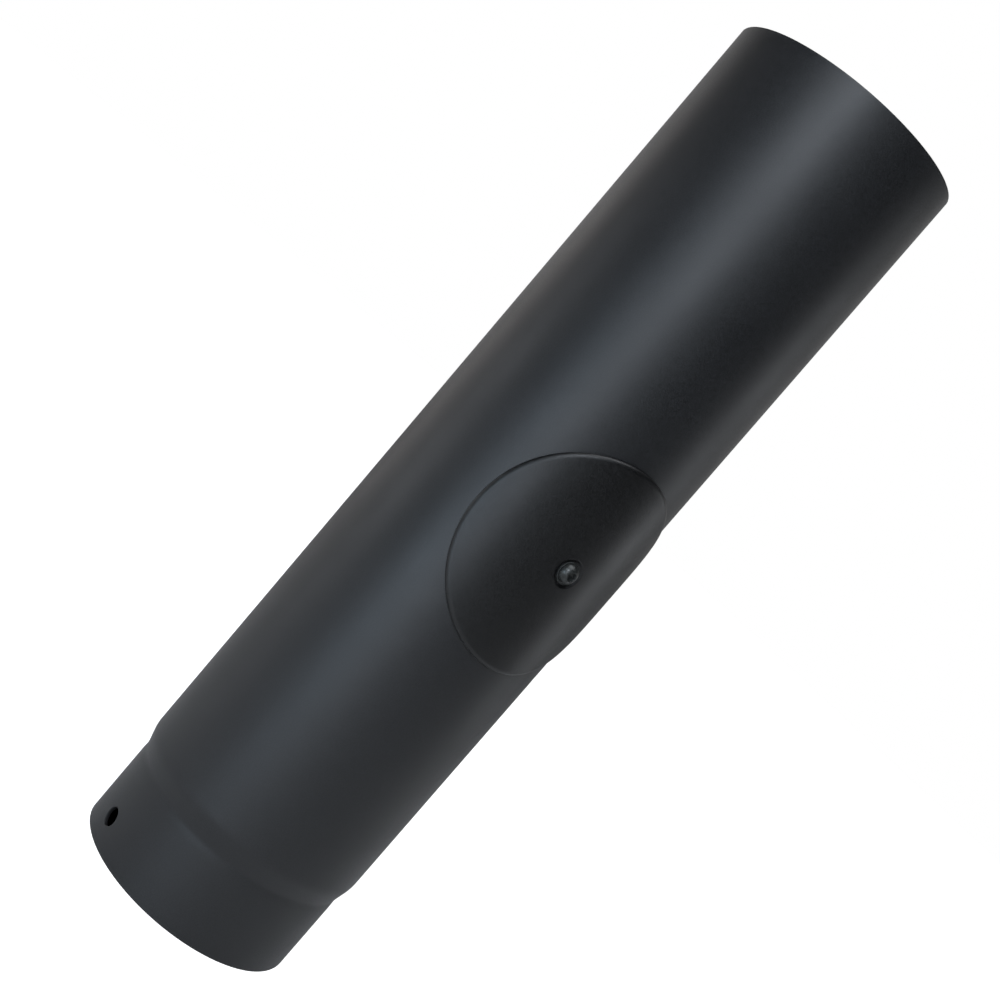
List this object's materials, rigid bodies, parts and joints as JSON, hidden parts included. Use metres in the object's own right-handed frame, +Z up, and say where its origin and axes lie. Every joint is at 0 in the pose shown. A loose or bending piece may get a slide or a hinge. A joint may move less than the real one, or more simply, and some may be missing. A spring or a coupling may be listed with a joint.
{
  "type": "stove pipe with inspection door",
  "caption": "Straight black steel stove pipe with a pressed spigot end, a hanging hole and a round inspection door held by a central screw.",
  "frame": {"origin": "centre of the spigot's end, on the surface that the pipe stands on", "axes": "+Z up along the pipe towards the socket, -Y out through the inspection door, -X out through the hanging hole"},
  "size_m": [0.129, 0.1346, 0.5],
  "materials": {
    "pipe_paint": "semi-matte heat-resistant black paint",
    "cover_paint": "semi-matte heat-resistant black paint with a coarser grain",
    "inner_steel": "dark hot-rolled steel",
    "screw_black": "black oxide",
    "gasket_fibre": "pressed glass fibre"
  },
  "bodies": {
    "pipe": {"pipe_tube": "pipe_paint", "bridge_bar": "inner_steel", "bridge_welds": "inner_steel", "weld_nut": "inner_steel"},
    "door": {"door_cover": "cover_paint", "door_gasket": "gasket_fibre"},
    "washer": {"screw_washer": "screw_black"},
    "screw": {"door_screw": "screw_black"}
  },
  "joints": [
    {"name": "door_lift", "type": "slide", "parent": "pipe", "child": "door", "axis": [0, -1, 0], "range_m": [0, 0.08]},
    {"name": "washer_slide", "type": "slide", "parent": "door", "child": "washer", "axis": [0, -1, 0], "range_m": [0, 0.01]},
    {"name": "screw_turn", "type": "hinge", "parent": "washer", "child": "screw", "pos_m": [0, -0.067, 0.25], "axis": [0, -1, 0], "range_deg": [0, 3600]}
  ],
  "couplings": [
    {"joint": "screw_turn", "follows": "washer_slide", "rad_per_m": 6283.2}
  ]
}
